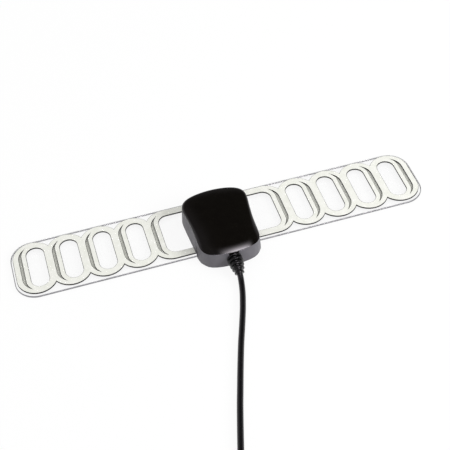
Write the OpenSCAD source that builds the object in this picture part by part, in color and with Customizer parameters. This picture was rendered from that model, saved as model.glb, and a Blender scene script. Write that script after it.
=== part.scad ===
// Car television antenna: two loop-chain elements on a clear stick-on strip, an amplifier housing and a coaxial lead.
// Millimetres. X runs along the strip, +Y to its back edge, +Z up, with the origin on the surface that it is stuck to.

/* [Clear strip] */
// Length of the clear strip
strip_l = 300; // [292:1:340]
// Width of the clear strip
strip_w = 51; // [50.6:0.2:56]
// Thickness of the clear strip
strip_t = 1.6; // [1.2:0.1:2]
// Radius of the strip's corners
strip_corner_r = 15.5; // [8:0.5:20]

/* [Elements] */
// Thickness of the metal elements
element_t = 1.2; // [0.8:0.1:1.4]
// Distance from one loop to the next
loop_pitch = 24; // [23:0.1:24.6]
// Outer radius of a loop's round ends
loop_r = 14.4; // [13.8:0.1:15]
// Half of a loop's straight side
loop_straight = 9.2; // [8.4:0.1:9.4]
// Number of closed loops on each side
loop_count = 4; // [3:1:4]
// Radius of the ends of the hole in a loop
hole_r = 6.3; // [5.6:0.1:6.6]
// Width of metal above and below a hole
bar_w = 5.7; // [5.2:0.1:6.4]
// Distance that each hole sits inwards of its loop
hole_shift = 1.7; // [1.4:0.1:2]
// Widest part of the crescent slit between two loops
slit_w = 1.9; // [1.4:0.1:2.1]
// Bare strip outside the last loop
end_margin = 1.7; // [1:0.1:4]
// Distance from the middle of the strip to each element
feed_gap = 6; // [5:0.2:6.4]

/* [Housing] */
// Width of the housing at its back
housing_back_w = 52; // [50:0.5:54]
// Width of the housing at its front
housing_front_w = 45; // [44:0.5:49]
// How far the sides curve in at the middle
waist = 2.2; // [1:0.1:2.6]
// How far the front edge bows out
front_bow = 3.6; // [2:0.1:5]
// How far the back edge bows out
back_bow = 5.6; // [3:0.1:7]
// Depth of the housing between its corners
housing_d = 51.4; // [50.5:0.1:53]
// Distance from the strip's front edge to the housing's front corners
overhang = 11.2; // [11:0.1:13]
// How far the housing sits off the strip's middle
housing_x = -1; // [-1.5:0.1:1]
// Height of the seam between base and cover
seam_z = 14.2; // [13.6:0.1:16]
// Height of the cover's upright rim
rim_h = 0.7; // [0.4:0.1:1.5]
// Radius of the cover's upper edge
edge_r = 2.4; // [1.6:0.1:3]
// Rise of the cover's top towards its middle
crown = 1.3; // [0.6:0.1:2]
// Wall thickness of the base and cover
wall = 1.8; // [1.5:0.1:2]
// Thickness of the base's floor
floor_t = 1.8; // [1.7:0.1:2.2]
// Width of the cover's locating lip
lip_w = 1.2; // [0.8:0.1:1.4]
// Depth of the cover's locating lip
lip_h = 2; // [1:0.1:2.4]
// Clearance between parts that fit into each other
fit_gap = 0.15; // [0.1:0.05:0.2]
// Thickness of the adhesive pad
pad_t = 0.8; // [0.5:0.1:1.2]
// Distance from the housing's outline to the pad's
pad_inset = 3; // [2:0.5:5]

/* [Board] */
// Width of the circuit board
board_w = 33; // [32:0.5:34]
// Distance from the board's back edge to the housing's back corners
board_back_gap = 4.4; // [4.2:0.1:6]
// Thickness of the circuit board
board_t = 1.6; // [1.2:0.1:1.8]
// Height of the posts under the board
standoff_h = 1.6; // [1.4:0.1:2]
// Distance from the board's front edge to its front screw
board_screw_front = 4; // [3.6:0.1:5]
// Distance along the board between its two screws
board_screw_pitch = 21; // [20:0.5:22]
// Distance from the board's front edge to the shield can
can_from_front = 8.5; // [8:0.1:9]
// Gap between the shield can and the balun's winding behind it
can_gap = 0.6; // [0.4:0.1:1]
// Distance from the board's back edge to the middle of the ferrite core
core_from_back = 7.5; // [6.5:0.1:8]
// Width of the shield can
can_w = 14; // [12:0.5:14.5]
// Height of the shield can
can_h = 3.4; // [2.8:0.1:4]
// Thickness of the shield can's sheet
can_t = 0.3; // [0.2:0.05:0.4]
// Distance from the board's side edges to the choke and the capacitors
tall_part_in = 4.5; // [4.2:0.1:5]
// How far behind the shield can's front edge the choke sits
choke_behind = 4; // [3:0.5:6]
// How far behind the shield can's front edge the first capacitor sits
capacitor_behind = 1.5; // [1.5:0.1:2]
// Distance between the two capacitors
capacitor_pitch = 7.5; // [6.5:0.1:8]
// Diameter of the supply choke
choke_d = 5; // [4:0.2:5.6]
// Height of the supply choke
choke_h = 4; // [3:0.2:5]
// Diameter of the filter capacitor
capacitor_d = 5; // [4:0.2:5.6]
// Height of the filter capacitor
capacitor_h = 5.4; // [4:0.2:5.8]
// Width, depth and height of the ferrite core
core_size = [7, 5, 4];
// Diameter of the wire through the ferrite core
winding_d = 0.8; // [0.6:0.1:1]
// Thickness of the contact springs
contact_t = 0.35; // [0.25:0.05:0.45]
// Width of the contact springs
contact_w = 3; // [2.4:0.1:3.4]

/* [Screws] */
// Diameter of the case screws
case_screw_d = 2.4; // [2:0.1:2.6]
// Diameter of the case screws' countersunk heads
case_head_d = 4.6; // [4.2:0.1:5]
// Length of the case screws
case_screw_l = 10; // [8.5:0.5:11]
// Diameter of the posts that the case screws enter
post_d = 6; // [5.4:0.1:6.2]
// How far the front case screws sit inwards of the housing's corners, across and along
front_post_in = [8, 4.4];
// How far the back case screws sit inwards of the housing's corners, across and along
back_post_in = [10, 4];
// Distance from the housing's front wall to the cable clamp
clamp_from_wall = 10; // [9.5:0.1:10.5]
// Diameter of the small screws on the board and clamp
small_screw_d = 2; // [1.6:0.1:2.2]
// Diameter of the small screws' heads
small_head_d = 3.8; // [3.4:0.1:4]
// Height of the small screws' heads
small_head_h = 1.4; // [1:0.1:1.8]

/* [Cable] */
// Outer diameter of the coaxial cable
cable_d = 4.2; // [4:0.1:4.4]
// Diameter of the cable's braid
braid_d = 3.5; // [3.3:0.05:3.6]
// Diameter of the cable's inner insulation
dielectric_d = 2.5; // [2.3:0.05:2.6]
// Diameter of the cable's centre wire
core_d = 0.7; // [0.6:0.05:0.8]
// Height of the cable where it leaves the housing
outlet_z = 7.6; // [7.5:0.1:7.8]
// Diameter of the strain relief's largest rib
relief_d = 11; // [10:0.1:11.4]
// Diameter of the strain relief's smallest rib
relief_end_d = 6.8; // [6.2:0.1:7.2]
// Diameter of the strain relief's collar inside the wall
collar_d = 8.8; // [8:0.1:9]
// Diameter of the neck that passes through the wall
neck_d = 6.6; // [6.2:0.1:6.8]
// Number of ribs on the strain relief
rib_count = 4; // [3:1:5]
// Distance from one rib to the next
rib_pitch = 2.9; // [2.7:0.05:3]
// Thickness of a rib
rib_t = 1.4; // [1.1:0.05:1.6]
// Radius of the strain relief's bend
relief_bend_r = 30; // [29:0.5:32]
// Thickness of the tie round the coil
tie_t = 0.8; // [0.6:0.1:1]
// Width of the tie round the coil
tie_w = 5; // [3:0.5:8]

/* [Plug] */
// Diameter of the plug's metal shell
shell_d = 9.5; // [9.4:0.05:9.6]
// Length of the shell outside the grip
shell_l = 10.5; // [9:0.5:12]
// Wall of the shell
shell_t = 0.5; // [0.4:0.05:0.6]
// Diameter of the plug's pin
pin_d = 2.4; // [2.3:0.05:2.4]
// Diameter of the plug's grip
grip_d = 11.6; // [11.2:0.1:12]
// Length of the plug's grip
grip_l = 24; // [22:0.5:28]

/* [Hidden] */
$fn = 64;
cut = 1;           // how far a cutting tool runs past a face
running = 0.05;    // radial clearance of a wire or screw in its hole

// Heights, from the stuck face upwards
strip_z = pad_t;
element_z = strip_z + strip_t;
deck_z = element_z + element_t;
deck_top = deck_z + floor_t;
well_top = pad_t + floor_t;
board_z = deck_top + standoff_h;
board_top = board_z + board_t;
edge_z = seam_z + rim_h;
ceiling_z = edge_z + edge_r - wall;

// The housing's place along Y
front_y = -strip_w/2 - overhang;
back_y = front_y + housing_d;
middle_y = (front_y + back_y)/2;
wall_y = front_y - front_bow;
riser_y = -strip_w/2 - fit_gap;
squareness = 6;
crown_power = 4;

// Loops
loop_top = loop_straight + loop_r;
first_loop_x = strip_l/2 - end_margin - loop_r - loop_count*loop_pitch;
hole_top = loop_top - bar_w;
window_corner_r = 6.7;
window_outer_x = first_loop_x + hole_r - 2;
slit_inner_r = 9.9;

// Fixings inside the housing
front_post = [housing_front_w/2 - front_post_in[0], front_y + front_post_in[1]];
back_post = [housing_back_w/2 - back_post_in[0], back_y - back_post_in[1]];
board_front_y = riser_y + 2;
board_l = back_y - board_back_gap - board_front_y;
standoff_x = board_w/2 - 3.5;
standoff_front_y = board_front_y + board_screw_front;
standoff_back_y = standoff_front_y + board_screw_pitch;
standoff_d = 5;
notch_w = 3.4;
notch_l = 6;
clamp_y = wall_y + clamp_from_wall;
clamp_l = 4;
clamp_screw_x = 5.4;
clamp_roof = 1.2;
contact_x = feed_gap + bar_w/2;
contact_y = -6;
contact_l = 6;
core_y = board_front_y + board_l - core_from_back;
winding_reach = core_size[1]/2 + winding_d/2 + running;
can_front_y = board_front_y + can_from_front;
can_back_y = core_y - winding_reach - winding_d/2 - can_gap;
can_l = can_back_y - can_front_y;
can_y = (can_front_y + can_back_y)/2;

// Cable: where each layer is cut back inside the housing
jacket_end_y = riser_y - 2.4;
braid_end_y = riser_y + 0.6;
dielectric_end_y = board_front_y + notch_l - 1.9;

// Strain relief: its bend starts at the wall, and its end is where the free cable starts
flange_t = 1;
relief_l = flange_t + rib_count*rib_pitch;
relief_turn = relief_l/relief_bend_r*180/PI;
relief_end = [
    housing_x,
    wall_y - relief_bend_r*sin(relief_turn),
    outlet_z - relief_bend_r*(1 - cos(relief_turn))
];

// The free cable's route, from the strain relief to the coil, and from the coil to the plug
stretch_route = [
    relief_end - 2*fit_gap*[0, cos(relief_turn), sin(relief_turn)], [-1.15, -54.8, 3.9],
    [-1.7, -58.3, 2.8], [-2.6, -62.8, 2.2], [-3.8, -67.8, 2.1], [-5.4, -73.3, 2.1], [-7.4, -79.8, 2.1],
    [-9.8, -86.8, 2.1], [-13, -95.8, 2.1], [-16.6, -105.8, 2.1], [-20.3, -116.8, 2.1],
    [-23.9, -127.8, 2.1], [-27.4, -138.8, 2.1], [-30.9, -149.8, 2.1], [-34.2, -160.8, 2.1],
    [-37.2, -171, 2.1], [-40.1, -181, 2.15], [-43.1, -191, 2.3], [-46, -200, 2.5], [-48.9, -209, 2.7],
    [-51.3, -216.6, 2.85]
];
lead_route = [
    [-3.3, -275.3, 14], [1, -275.4, 13.1], [6, -275.8, 11.5], [11, -276.3, 9.6], [16, -276.9, 7.8],
    [21, -277.5, 6.6], [25, -277.9, 6], [29, -278, 5.8]
];
tube_sides = 10;

// Coil: 18 turns, bedded in four layers
coil_centre = [-25, -244];
coil_mean_r = 25;
coil_across = 5;
coil_layers = 4;
coil_half_w = coil_across*cable_d/2;
coil_h = cable_d*(1 + (coil_layers - 1)*sin(60));
coil_corner_r = 2;
tie_angle = 35;

// Plug
plug_at = lead_route[len(lead_route) - 1] + [fit_gap, 0, 0];
shell_seat = 6;
seat_r = shell_d/2 - 0.4;

// One point of the housing's outline at an angle, moved inwards by an inset
function squircle(a) = pow(pow(abs(cos(a)), squareness) + pow(abs(sin(a)), squareness), -1/squareness);
function housing_point(a, inset) =
    let (u = squircle(a)*cos(a), v = squircle(a)*sin(a))
    let (half_w = (housing_back_w + housing_front_w)/4 + (housing_back_w - housing_front_w)/4*v
        - waist*(1 - v*v) - inset)
    let (bow = (v > 0 ? back_bow : -front_bow)*(1 - u*u)*abs(v))
    [half_w*u, middle_y + (housing_d/2 - inset)*v + bow];
function housing_ring(inset, sides = 72) = [for (i = [0:sides - 1]) housing_point(i*360/sides, inset)];

// The same ring drawn towards its middle, for the crowned top
function shrunk(ring, s) = [for (p = ring) [p[0]*s, middle_y + (p[1] - middle_y)*s]];
function at_height(ring, z) = [for (p = ring) [p[0], p[1], z]];

// Faces that join rings of points into one closed skin
function skin_faces(rings, sides) = concat(
    [[for (i = [0:sides - 1]) i]],
    [for (r = [0:rings - 2], i = [0:sides - 1])
        [r*sides + i, (r + 1)*sides + i, (r + 1)*sides + (i + 1)%sides, r*sides + (i + 1)%sides]],
    [[for (i = [sides - 1:-1:0]) (rings - 1)*sides + i]]
);

function unit(v) = v/norm(v);
function route_heading(p, i) = unit(p[min(i + 1, len(p) - 1)] - p[max(i - 1, 0)]);
function tube_ring(at, heading, d, sides) =
    let (side = unit(cross(heading, [0, 0, 1])), up = cross(side, heading))
    [for (k = [0:sides - 1]) at + d/2*(cos(k*360/sides)*side + sin(k*360/sides)*up)];

// A round tube swept along a route
module swept_tube(route, d, sides) {
    rings = [for (i = [0:len(route) - 1]) tube_ring(route[i], route_heading(route, i), d, sides)];
    polyhedron([for (r = rings) each r], skin_faces(len(route), sides), convexity = 4);
}

module in_housing() {
    translate([housing_x, 0, 0])
        children();
}

module housing_slab(inset, z0, z1) {
    translate([0, 0, z0])
        linear_extrude(z1 - z0)
            polygon(housing_ring(inset));
}

module at_posts(places) {
    for (p = places, side = [-1, 1])
        translate([side*p[0], p[1], 0])
            children();
}

module rounded_rect(w, l, r) {
    square([w - 2*r, l], center = true);
    square([w, l - 2*r], center = true);
    for (x = [-1, 1], y = [-1, 1])
        translate([x*(w/2 - r), y*(l/2 - r)])
            circle(r);
}

module stadium(x, r, straight) {
    translate([x, 0]) {
        square([2*r, 2*straight], center = true);
        for (y = [-1, 1])
            translate([0, y*straight])
                circle(r);
    }
}

// A cylinder that lies along Y, from y0 to y1
module along_y(d, y0, y1, z) {
    translate([0, y0, z])
        rotate([-90, 0, 0])
            cylinder(h = y1 - y0, d = d);
}

module adhesive_pad() {
    color("dimgray")
        in_housing()
            housing_slab(pad_inset, 0, pad_t);
}

module carrier_strip() {
    color([0.93, 0.95, 0.94, 0.3])
        translate([0, 0, strip_z])
            difference() {
                linear_extrude(strip_t)
                    rounded_rect(strip_l, strip_w, strip_corner_r);
                in_housing()
                    at_posts([back_post])
                        screw_hole(strip_t);
            }
}

// A countersunk hole for a case screw, through a sheet that starts at z = 0
module screw_hole(sheet_t) {
    head_h = (case_head_d - case_screw_d)/2;
    translate([0, 0, -cut])
        cylinder(h = sheet_t + 2*cut, d = case_screw_d + 2*fit_gap);
    translate([0, 0, -running])
        cylinder(h = head_h + running, d1 = case_head_d + 2*running, d2 = case_screw_d);
}

// The slit on the outer side of a loop, a crescent between two stadiums
module crescent(x) {
    intersection() {
        difference() {
            stadium(x + slit_w/2, slit_inner_r + slit_w/2, loop_straight + 0.1);
            stadium(x, slit_inner_r, hole_top - hole_r);
        }
        translate([x, -loop_top])
            square([2*loop_r, 2*loop_top]);
    }
}

module element_outline() {
    difference() {
        union() {
            translate([feed_gap, -loop_top])
                square([first_loop_x - feed_gap, 2*loop_top]);
            for (k = [0:loop_count])
                stadium(first_loop_x + k*loop_pitch, loop_r, loop_straight);
        }
        window_x = feed_gap + bar_w;
        translate([(window_x + window_outer_x)/2, 0])
            rounded_rect(window_outer_x - window_x, 2*hole_top, window_corner_r);
        for (k = [1:loop_count])
            stadium(first_loop_x + k*loop_pitch - hole_shift, hole_r, hole_top - hole_r);
        for (k = [0:loop_count])
            crescent(first_loop_x + k*loop_pitch - hole_shift);
    }
}

module left_element() {
    color("ivory")
        translate([0, 0, element_z])
            linear_extrude(element_t)
                mirror([1, 0])
                    element_outline();
}

module right_element() {
    color("ivory")
        translate([0, 0, element_z])
            linear_extrude(element_t)
                element_outline();
}

module housing_base() {
    color("dimgray") {
        difference() {
            in_housing()
                base_shell();
            for (side = [-1, 1])
                translate([side*contact_x - contact_w/2 - 0.5, contact_y - contact_l/2 - 0.8, deck_z - cut])
                    cube([contact_w + 1, contact_l + 1.6, floor_t + 2*cut]);
        }
    }
}

module base_shell() {
    difference() {
        union() {
            difference() {
                housing_slab(0, strip_z, seam_z);
                housing_slab(wall, deck_top, seam_z + cut);
                intersection() {
                    housing_slab(wall, well_top, seam_z);
                    translate([-housing_back_w, wall_y, 0])
                        cube([2*housing_back_w, riser_y - wall - wall_y, seam_z]);
                }
            }
            standoffs();
            clamp_bridge();
        }
        translate([-housing_back_w, riser_y, -cut])
            cube([2*housing_back_w, housing_d, deck_z + cut]);
        translate([0, 0, strip_z])
            at_posts([front_post])
                screw_hole(floor_t);
        at_posts([back_post])
            cylinder(h = seam_z, d = case_screw_d + 2*fit_gap);
        small_screw_bores();
        outlet_slot(fit_gap);
    }
}

module standoffs() {
    for (y = [standoff_front_y, standoff_back_y])
        at_posts([[standoff_x, y]])
            translate([0, 0, deck_top - cut])
                cylinder(h = standoff_h + cut, d = standoff_d);
}

// Two pillars and a cradle that the cable lies in under its clamp
module clamp_bridge() {
    difference() {
        translate([-clamp_screw_x, clamp_y - clamp_l/2, well_top - cut])
            cube([2*clamp_screw_x, clamp_l, outlet_z - well_top + cut]);
        along_y(cable_d + 2*running, clamp_y - clamp_l, clamp_y + clamp_l, outlet_z);
    }
    at_posts([[clamp_screw_x, clamp_y]])
        translate([0, 0, well_top - cut])
            cylinder(h = outlet_z - well_top + cut, d = standoff_d);
}

module small_screw_bores() {
    at_posts([[clamp_screw_x, clamp_y]])
        translate([0, 0, outlet_z - 4])
            cylinder(h = 4 + cut, d = small_screw_d + 2*running);
    for (p = [[-standoff_x, standoff_front_y], [standoff_x, standoff_back_y]])
        translate([p[0], p[1], deck_z + 0.4])
            cylinder(h = board_top, d = small_screw_d + 2*running);
}

// The slot in the front wall for the strain relief's neck, open up to the seam
module outlet_slot(gap) {
    along_y(neck_d + 2*gap, wall_y - cut, wall_y + wall + 2*cut, outlet_z);
    translate([-neck_d/2 - gap, wall_y - cut, outlet_z])
        cube([neck_d + 2*gap, wall + 3*cut, seam_z - outlet_z + cut]);
}

module housing_cover() {
    color("black")
        in_housing() {
            cover_shell();
            cover_posts();
            outlet_tongue();
        }
}

// Rings from the seam up the rim, round the upper edge and in over the crown
module cover_skin() {
    round_steps = [for (a = [0:14:84]) a];
    crown_steps = [0.95, 0.88, 0.78, 0.62, 0.4, 0.15];
    top_ring = housing_ring(edge_r);
    rings = concat(
        [at_height(housing_ring(0), seam_z)],
        [for (a = round_steps) at_height(housing_ring(edge_r*(1 - cos(a))), edge_z + edge_r*sin(a))],
        [for (s = crown_steps) at_height(shrunk(top_ring, s), edge_z + edge_r + crown*(1 - pow(s, crown_power)))]
    );
    polyhedron([for (r = rings) each r], skin_faces(len(rings), len(top_ring)), convexity = 4);
}

module cover_shell() {
    difference() {
        cover_skin();
        housing_slab(wall, seam_z - cut, ceiling_z);
    }
    difference() {
        union() {
            housing_slab(wall - fit_gap, seam_z, seam_z + rim_h);
            housing_slab(wall + fit_gap, seam_z - lip_h, seam_z + rim_h);
        }
        housing_slab(wall + fit_gap + lip_w, seam_z - lip_h - cut, seam_z + rim_h + cut);
        outlet_slot(2*fit_gap);
    }
}

module cover_posts() {
    for (post = [[front_post, well_top], [back_post, deck_top]])
        at_posts([post[0]])
            translate([0, 0, post[1]])
                difference() {
                    cylinder(h = ceiling_z - post[1] + 0.2, d = post_d);
                    translate([0, 0, -cut])
                        cylinder(h = case_screw_l - 1 + cut, d = case_screw_d + 2*running);
                }
}

// The tongue that closes the slot above the strain relief's neck
module outlet_tongue() {
    difference() {
        intersection() {
            translate([-neck_d/2, wall_y - cut, outlet_z])
                cube([neck_d, wall + 3*cut, seam_z + rim_h - outlet_z]);
            difference() {
                housing_slab(0, outlet_z, seam_z + rim_h);
                housing_slab(wall + fit_gap, outlet_z - cut, seam_z + rim_h + cut);
            }
        }
        along_y(neck_d + 2*fit_gap, wall_y - 2*cut, wall_y + wall + 4*cut, outlet_z);
    }
}

module case_screws() {
    head_h = (case_head_d - case_screw_d)/2;
    color("silver")
        in_housing()
            at_posts([front_post, back_post])
                translate([0, 0, strip_z])
                    difference() {
                        union() {
                            cylinder(h = head_h, d1 = case_head_d, d2 = case_screw_d);
                            cylinder(h = case_screw_l - 1, d = case_screw_d);
                            translate([0, 0, case_screw_l - 1])
                                cylinder(h = 1, d1 = case_screw_d, d2 = 0.8);
                        }
                        cross_recess(case_head_d*0.55);
                    }
}

// A cross recess that opens downwards at z = 0
module cross_recess(w) {
    for (a = [0, 90])
        rotate(a)
            translate([-w/2, -0.3, -cut])
                cube([w, 0.6, cut + 0.8]);
}

module circuit_board() {
    color("darkgreen")
        in_housing()
            translate([0, 0, board_z])
                difference() {
                    translate([-board_w/2, board_front_y, 0])
                        cube([board_w, board_l, board_t]);
                    translate([-notch_w/2, board_front_y - cut, -cut])
                        cube([notch_w, notch_l + cut, board_t + 2*cut]);
                    at_posts([back_post])
                        translate([0, 0, -cut])
                            cylinder(h = board_t + 2*cut, d = post_d + 1);
                    for (y = [standoff_front_y, standoff_back_y])
                        at_posts([[standoff_x, y]])
                            translate([0, 0, -cut])
                                cylinder(h = board_t + 2*cut, d = small_screw_d + 2*fit_gap);
                }
}

// A small pan-head screw whose head sits on z = 0
module small_screw(length) {
    difference() {
        union() {
            cylinder(h = small_head_h, d1 = small_head_d, d2 = small_head_d - 0.8);
            translate([0, 0, -length])
                cylinder(h = length, d = small_screw_d);
        }
        translate([0, 0, small_head_h])
            mirror([0, 0, 1])
                cross_recess(small_head_d*0.5);
    }
}

module board_screws() {
    color("silver")
        in_housing()
            for (p = [[-standoff_x, standoff_front_y], [standoff_x, standoff_back_y]])
                translate([p[0], p[1], board_top])
                    small_screw(board_top - deck_z - 0.6);
}

module shield_can() {
    color("silver")
        in_housing()
            translate([0, can_y, board_top])
                difference() {
                    translate([-can_w/2, -can_l/2, 0])
                        cube([can_w, can_l, can_h]);
                    translate([-can_w/2 + can_t, -can_l/2 + can_t, -cut])
                        cube([can_w - 2*can_t, can_l - 2*can_t, can_h - can_t + cut]);
                    for (x = [-1:1], y = [-1:1])
                        translate([x*can_w/4, y*can_l/4, 0])
                            cylinder(h = can_h + cut, d = 1.4);
                }
}

module amplifier_chip() {
    body = [5, 4, 1.4];
    color("black")
        in_housing()
            translate([0, can_y, board_top]) {
                translate([-body[0]/2, -body[1]/2, 0.15])
                    cube(body);
                for (i = [0:3], side = [-1, 1])
                    translate([(i - 1.5)*1.27 - 0.2, side > 0 ? body[1]/2 : -body[1]/2 - 1, 0])
                        cube([0.4, 1, 0.3]);
            }
}

module balun_core() {
    color("darkslategray")
        in_housing()
            translate([0, core_y, board_top])
                difference() {
                    translate([-core_size[0]/2, -core_size[1]/2, 0])
                        cube(core_size);
                    for (side = [-1, 1])
                        translate([side*core_size[0]/4, 0, 0])
                            along_y(1.8, -core_size[1], core_size[1], core_size[2]/2);
                }
}

// A wire loop through both holes of the core, with its two ends bent down to the board
module balun_winding() {
    bend_r = core_size[0]/4;
    color("peru")
        in_housing()
            translate([0, core_y, board_top]) {
                for (side = [-1, 1])
                    translate([side*bend_r, 0, 0]) {
                        along_y(winding_d, -winding_reach, winding_reach, core_size[2]/2);
                        translate([0, -winding_reach, 0])
                            cylinder(h = core_size[2]/2, d = winding_d);
                        translate([0, -winding_reach, core_size[2]/2])
                            sphere(d = winding_d);
                    }
                translate([0, winding_reach, core_size[2]/2])
                    rotate_extrude(angle = 180)
                        translate([bend_r, 0])
                            circle(d = winding_d);
            }
}

module supply_choke() {
    color("saddlebrown")
        in_housing()
            translate([-board_w/2 + tall_part_in, can_front_y + choke_behind, board_top])
                rotate_extrude()
                    polygon([
                        [0, 0], [choke_d/2, 0], [choke_d/2, 0.7], [choke_d/2 - 0.6, 0.7],
                        [choke_d/2 - 0.6, choke_h - 0.7], [choke_d/2, choke_h - 0.7],
                        [choke_d/2, choke_h], [0, choke_h]
                    ]);
}

module filter_capacitors() {
    color("steelblue")
        in_housing()
            for (i = [0, 1])
                translate([board_w/2 - tall_part_in, can_front_y + capacitor_behind + i*capacitor_pitch, board_top]) {
                    translate([-capacitor_d/2, -capacitor_d/2, 0])
                        cube([capacitor_d, capacitor_d, 0.8]);
                    cylinder(h = capacitor_h, d = capacitor_d - 0.4);
                }
}

module chip_resistors() {
    body = [1.2, 2, 0.6];
    color("dimgray")
        in_housing()
            for (side = [-1, 1], i = [0:2])
                translate([side*(3.8 + i*2.6) - body[0]/2, can_front_y - 3.2, board_top])
                    cube(body);
}

// A leaf bent into a C, from the underside of the board down to the element
module contact_leaf() {
    height = board_z - deck_z;
    bend_r = 1.2;
    translate([contact_x - contact_w/2, contact_y, deck_z + height/2])
        rotate([90, 0, 90])
            linear_extrude(contact_w)
                difference() {
                    rounded_rect(contact_l, height, bend_r);
                    rounded_rect(contact_l - 2*contact_t, height - 2*contact_t, bend_r - contact_t);
                    translate([-contact_l/2 - cut, -height/2 + contact_t])
                        square([contact_l/2 + cut - 0.6, height]);
                }
}

module left_contact() {
    color("goldenrod")
        mirror([1, 0, 0])
            contact_leaf();
}

module right_contact() {
    color("goldenrod")
        contact_leaf();
}

module cable_clamp() {
    color("dimgray")
        in_housing()
            difference() {
                translate([-clamp_screw_x, clamp_y - clamp_l/2, outlet_z]) {
                    cube([2*clamp_screw_x, clamp_l, cable_d/2 + clamp_roof]);
                    for (x = [0, 2*clamp_screw_x])
                        translate([x, clamp_l/2, 0])
                            cylinder(h = cable_d/2 + clamp_roof, d = clamp_l);
                }
                along_y(cable_d + 2*running, clamp_y - clamp_l, clamp_y + clamp_l, outlet_z);
                at_posts([[clamp_screw_x, clamp_y]])
                    translate([0, 0, outlet_z - cut])
                        cylinder(h = cable_d + clamp_roof, d = small_screw_d + 2*fit_gap);
            }
}

module clamp_screws() {
    color("silver")
        in_housing()
            at_posts([[clamp_screw_x, clamp_y]])
                translate([0, 0, outlet_z + cable_d/2 + clamp_roof])
                    small_screw(cable_d/2 + clamp_roof + 3.6);
}

// One slice of the strain relief, from one distance along its bend to another
module relief_slice(from, to, d) {
    turn = (from + to)/2/relief_bend_r*180/PI;
    translate([0, wall_y - relief_bend_r*sin(turn), outlet_z - relief_bend_r*(1 - cos(turn))])
        rotate([90 + turn, 0, 0])
            cylinder(h = to - from, d = d, center = true);
}

// The ribs stay nearly full size near the wall and shrink faster towards the free end
function rib_d(share) = relief_end_d + (relief_d - relief_end_d)*(1 - share*share);

module strain_relief() {
    core_taper = (relief_d - relief_end_d)*0.35;
    inner_y = wall_y + wall + 0.5;
    color("black")
        in_housing()
            difference() {
                union() {
                    along_y(relief_d, wall_y - flange_t, wall_y, outlet_z);
                    for (i = [0:rib_count - 1]) {
                        start = flange_t + i*rib_pitch;
                        share = (i + 1)/rib_count;
                        relief_slice(start - 0.3, start + rib_pitch - rib_t + 0.3,
                            relief_end_d - core_taper*share);
                        relief_slice(start + rib_pitch - rib_t, start + rib_pitch, rib_d(share));
                    }
                    along_y(neck_d, wall_y - 0.5, inner_y, outlet_z);
                    along_y(collar_d, inner_y, inner_y + 1.5, outlet_z);
                }
                along_y(cable_d + 2*running, wall_y, inner_y + 1.5 + cut, outlet_z);
            }
}

// A tube round the cable's axis inside the housing
module cable_layer(d, bore, y1) {
    in_housing()
        difference() {
            along_y(d, wall_y + running, y1, outlet_z);
            along_y(bore, wall_y - cut, y1 + cut, outlet_z);
        }
}

module cable_jacket() {
    color("black")
        cable_layer(cable_d, braid_d + 2*running, jacket_end_y);
}

module cable_braid() {
    color("silver")
        cable_layer(braid_d, dielectric_d + 2*running, braid_end_y);
}

module cable_dielectric() {
    color("white")
        cable_layer(dielectric_d, core_d + 2*running, dielectric_end_y);
}

// The centre wire steps up through the board's notch and lies along the board's top
module cable_centre_wire() {
    rise = board_top + core_d/2 - outlet_z;
    bend_r = rise/2;
    step_y = dielectric_end_y + 0.1;
    color("peru")
        in_housing() {
            along_y(core_d, wall_y + running, step_y, outlet_z);
            translate([0, step_y, outlet_z + bend_r])
                rotate([0, -90, 0])
                    rotate_extrude(angle = -90)
                        translate([-bend_r, 0])
                            circle(d = core_d);
            translate([0, step_y + 2*bend_r, outlet_z + bend_r])
                rotate([0, -90, 0])
                    rotate_extrude(angle = -90)
                        translate([bend_r, 0])
                            circle(d = core_d);
            along_y(core_d, step_y + 2*bend_r, step_y + 2*bend_r + 2.4, outlet_z + rise);
        }
}

module cable_stretch() {
    color("black")
        swept_tube(stretch_route, cable_d, tube_sides);
}

// The section of the coil, or of the tie that is a margin bigger
module coil_section(margin) {
    translate([coil_mean_r, tie_t + coil_h/2])
        rounded_rect(2*(coil_half_w + margin), coil_h + 2*margin, coil_corner_r + margin);
}

module cable_coil() {
    color("black")
        translate(coil_centre)
            rotate_extrude()
                coil_section(0);
}

module cable_tie() {
    tie_turn = tie_w/coil_mean_r*180/PI;
    color("darkslategray")
        translate(coil_centre)
            rotate(tie_angle)
                rotate_extrude(angle = tie_turn)
                    difference() {
                        coil_section(tie_t);
                        coil_section(running);
                    }
}

module cable_lead() {
    color("black")
        swept_tube(lead_route, cable_d, tube_sides);
}

// Turns a profile round the plug's axis, which runs along +X from the end of the lead
module plug_turned() {
    translate(plug_at)
        rotate([90, 0, 90])
            rotate_extrude()
                children();
}

module plug_grip() {
    shoulder = 7;
    groove = 0.5;
    groove_w = 1.1;
    groove_pitch = 2.2;
    grooves_l = grip_l - shell_seat - shoulder - 2;
    color("black")
        plug_turned()
            difference() {
                polygon([
                    [0, 0], [cable_d/2 + 0.7, 0], [cable_d/2 + 1.1, shoulder - 2], [grip_d/2 - 0.8, shoulder],
                    [grip_d/2, shoulder + 1], [grip_d/2, grip_l - 0.8], [grip_d/2 - 0.8, grip_l], [0, grip_l]
                ]);
                for (i = [0:floor(grooves_l/groove_pitch) - 1])
                    translate([grip_d/2 - groove, shoulder + 2 + i*groove_pitch])
                        square([cut, groove_w]);
                translate([0, grip_l - shell_seat])
                    square([seat_r + running, shell_seat + cut]);
            }
}

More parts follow.
